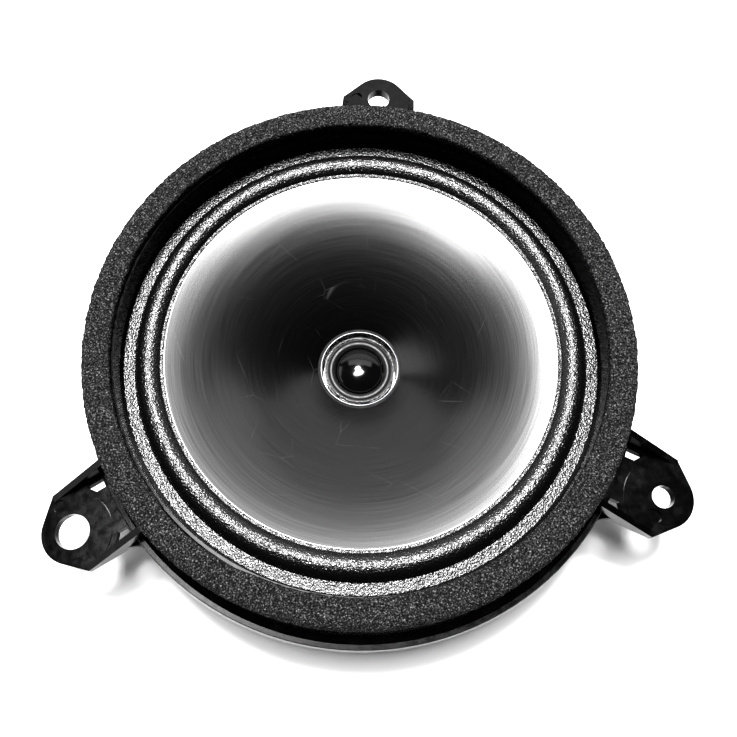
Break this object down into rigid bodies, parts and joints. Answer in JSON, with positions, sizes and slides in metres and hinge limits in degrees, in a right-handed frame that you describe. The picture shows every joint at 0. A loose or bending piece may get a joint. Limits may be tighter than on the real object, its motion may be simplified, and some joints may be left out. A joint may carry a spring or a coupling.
{
  "type": "coaxial car door speaker",
  "caption": "Coaxial car door speaker: cone woofer with a small dome tweeter on its pole, in a black moulded basket with mounting ears and a foam gasket.",
  "frame": {"origin": "centre of the motor's flat rear face, on the speaker axis", "axes": "+Z along the speaker axis out of the front, +Y towards the lone top ear, +X to the right of a viewer who faces the front"},
  "size_m": [0.1993, 0.2017, 0.056],
  "materials": {
    "basket_plastic": "injection-moulded black glass-filled plastic, satin, with scuffed edges",
    "foam": "open-cell charcoal foam, fuzzy cut faces",
    "cone_skin": "smooth dark grey moulded cone, glossy, fine concentric turning lines",
    "surround_cloth": "coated cloth half roll with a coarse grain",
    "spider_cloth": "phenolic-dipped woven cotton, corrugated",
    "clamp_card": "pressed fibre ring, matte",
    "plated_steel": "zinc-plated turned steel",
    "ferrite": "sintered ferrite, ground matte dark grey",
    "screw_steel": "plated pan-head screws",
    "former_film": "rolled aluminium foil",
    "coil_wire": "enamelled copper winding",
    "glue": "clear-grey cured adhesive bead, glossy and uneven",
    "black_glue": "black rubbery adhesive fillet",
    "tweeter_plastic": "black moulded plastic, satin",
    "neodymium": "nickel-plated disc",
    "dome_film": "glossy black formed film dome",
    "roll_film": "glossy black formed film roll",
    "connector_plastic": "black moulded connector",
    "tinned_brass": "tinned brass stampings",
    "capacitor_sleeve": "dark shrink sleeve, glossy, unmarked",
    "lead_wire": "black insulated hook-up wire",
    "tinsel": "braided copper tinsel"
  },
  "bodies": {
    "frame": {"basket": "basket_plastic", "foam_gasket": "foam", "surround": "surround_cloth", "spider": "spider_cloth", "spider_clamp_ring": "clamp_card", "yoke": "plated_steel", "magnet": "ferrite", "top_plate": "plated_steel", "motor_screws": "screw_steel", "tweeter_pin": "screw_steel", "tweeter_pedestal": "tweeter_plastic", "tweeter_cup": "plated_steel", "tweeter_magnet": "neodymium", "tweeter_top_plate": "plated_steel", "tweeter_frame": "tweeter_plastic", "tweeter_clamp_ring": "glue", "tweeter_roll": "roll_film", "terminal_block": "connector_plastic", "terminal_blades": "tinned_brass", "solder_tabs": "tinned_brass", "crossover_capacitor": "capacitor_sleeve", "capacitor_leads": "lead_wire", "tweeter_leads": "lead_wire", "tinsel_leads": "tinsel"},
    "cone_assembly": {"cone": "cone_skin", "voice_coil_former": "former_film", "voice_coil": "coil_wire", "neck_glue_ring": "black_glue", "lead_anchors": "glue"},
    "tweeter_diaphragm": {"tweeter_dome": "dome_film", "tweeter_coil": "coil_wire"}
  },
  "joints": [
    {"name": "woofer_excursion", "type": "slide", "parent": "frame", "child": "cone_assembly", "axis": [0, 0, 1], "range_m": [-0.003, 0.003], "stiffness_N_per_m": 1300, "deforming": ["surround", "spider", "tinsel_leads"]},
    {"name": "tweeter_excursion", "type": "slide", "parent": "frame", "child": "tweeter_diaphragm", "axis": [0, 0, 1], "range_m": [-0.0003, 0.0003], "stiffness_N_per_m": 1500, "deforming": ["tweeter_roll"]}
  ]
}
